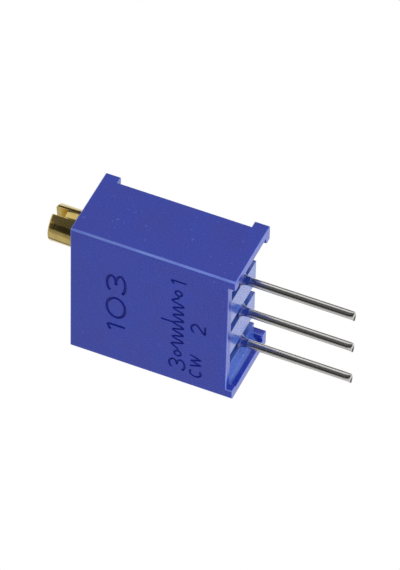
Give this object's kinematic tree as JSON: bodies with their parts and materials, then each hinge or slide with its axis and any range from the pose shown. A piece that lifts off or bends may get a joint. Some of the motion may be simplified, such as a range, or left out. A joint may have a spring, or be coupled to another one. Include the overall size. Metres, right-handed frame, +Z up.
{
  "type": "trimmer potentiometer",
  "caption": "Square sealed multi-turn trimmer potentiometer with a slotted brass adjusting screw on top and in-line wire pins for a circuit board.",
  "frame": {"origin": "on the middle pin's axis, in the plane of the case's feet, which seats on the board", "axes": "+Z up towards the adjusting screw's head, the pins point along -Z; X along the row of pins with pin 1 and the screw on the +X side; the marked face looks along -Y"},
  "size_m": [0.0096, 0.0048, 0.0177],
  "materials": {
    "case_blue": "fine satin moulded plastic",
    "base_blue": "fine satin moulded plastic",
    "epoxy_blue": "glossy cured epoxy",
    "screw_brass": "turned, bright",
    "ring_rubber": "matte",
    "clip_steel": "stamped",
    "carriage_plastic": "moulded",
    "leaf_alloy": "bright spring alloy",
    "alumina": "fired ceramic",
    "resistor_film": "fired thick film",
    "conductor_film": "fired silver film",
    "tinned_wire": "bright tinned",
    "solder": "bright solder"
  },
  "bodies": {
    "case": {"housing": "case_blue", "pin_base": "base_blue", "sealant": "epoxy_blue", "o_ring": "ring_rubber", "retaining_clip": "clip_steel", "element_substrate": "alumina", "resistive_track": "resistor_film", "collector_track": "conductor_film", "termination_1": "conductor_film", "termination_2": "conductor_film", "termination_3": "conductor_film", "pin_1": "tinned_wire", "pin_2": "tinned_wire", "pin_3": "tinned_wire", "solder_1": "solder", "solder_2": "solder", "solder_3": "solder"},
    "screw": {"lead_screw": "screw_brass"},
    "wiper": {"carriage": "carriage_plastic", "wiper_contact": "leaf_alloy"}
  },
  "joints": [
    {"name": "screw_turn", "type": "hinge", "parent": "case", "child": "screw", "pos_m": [0.00349, -0.00114, 0], "axis": [0, 0, 1], "range_deg": [-4500, 4500]},
    {"name": "carriage_slide", "type": "slide", "parent": "case", "child": "wiper", "axis": [0, 0, 1], "range_m": [-0.0025, 0.0025]}
  ],
  "couplings": [
    {"joint": "screw_turn", "follows": "carriage_slide", "rad_per_m": -31416}
  ]
}
